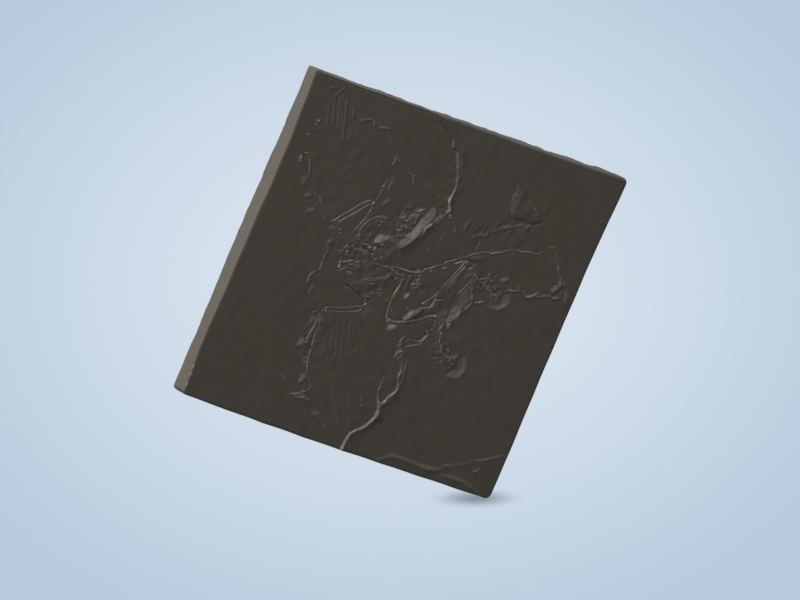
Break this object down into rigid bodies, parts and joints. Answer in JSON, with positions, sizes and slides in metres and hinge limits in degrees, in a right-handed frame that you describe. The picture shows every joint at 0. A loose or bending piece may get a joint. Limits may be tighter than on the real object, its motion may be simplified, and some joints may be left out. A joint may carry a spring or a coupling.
{
  "type": "fossil slab",
  "caption": "Flat stone slab with a fossil archaeopteryx: skeleton in low relief, faint feather prints, cracks, steps and hollows in a dark matrix.",
  "frame": {"origin": "centre of the slab's outline at its flat back, which lies on the ground", "axes": "+X along the long side, to the right of the upright fossil; +Y up the face, towards the edge above the tail; +Z out of the fossil's face"},
  "size_m": [0.46, 0.38, 0.018],
  "materials": {
    "slab_stone": "matte, fine-grained grey-brown stone, paler on broken walls and edges"
  },
  "bodies": {
    "root": {"slab": "slab_stone"}
  },
  "joints": []
}
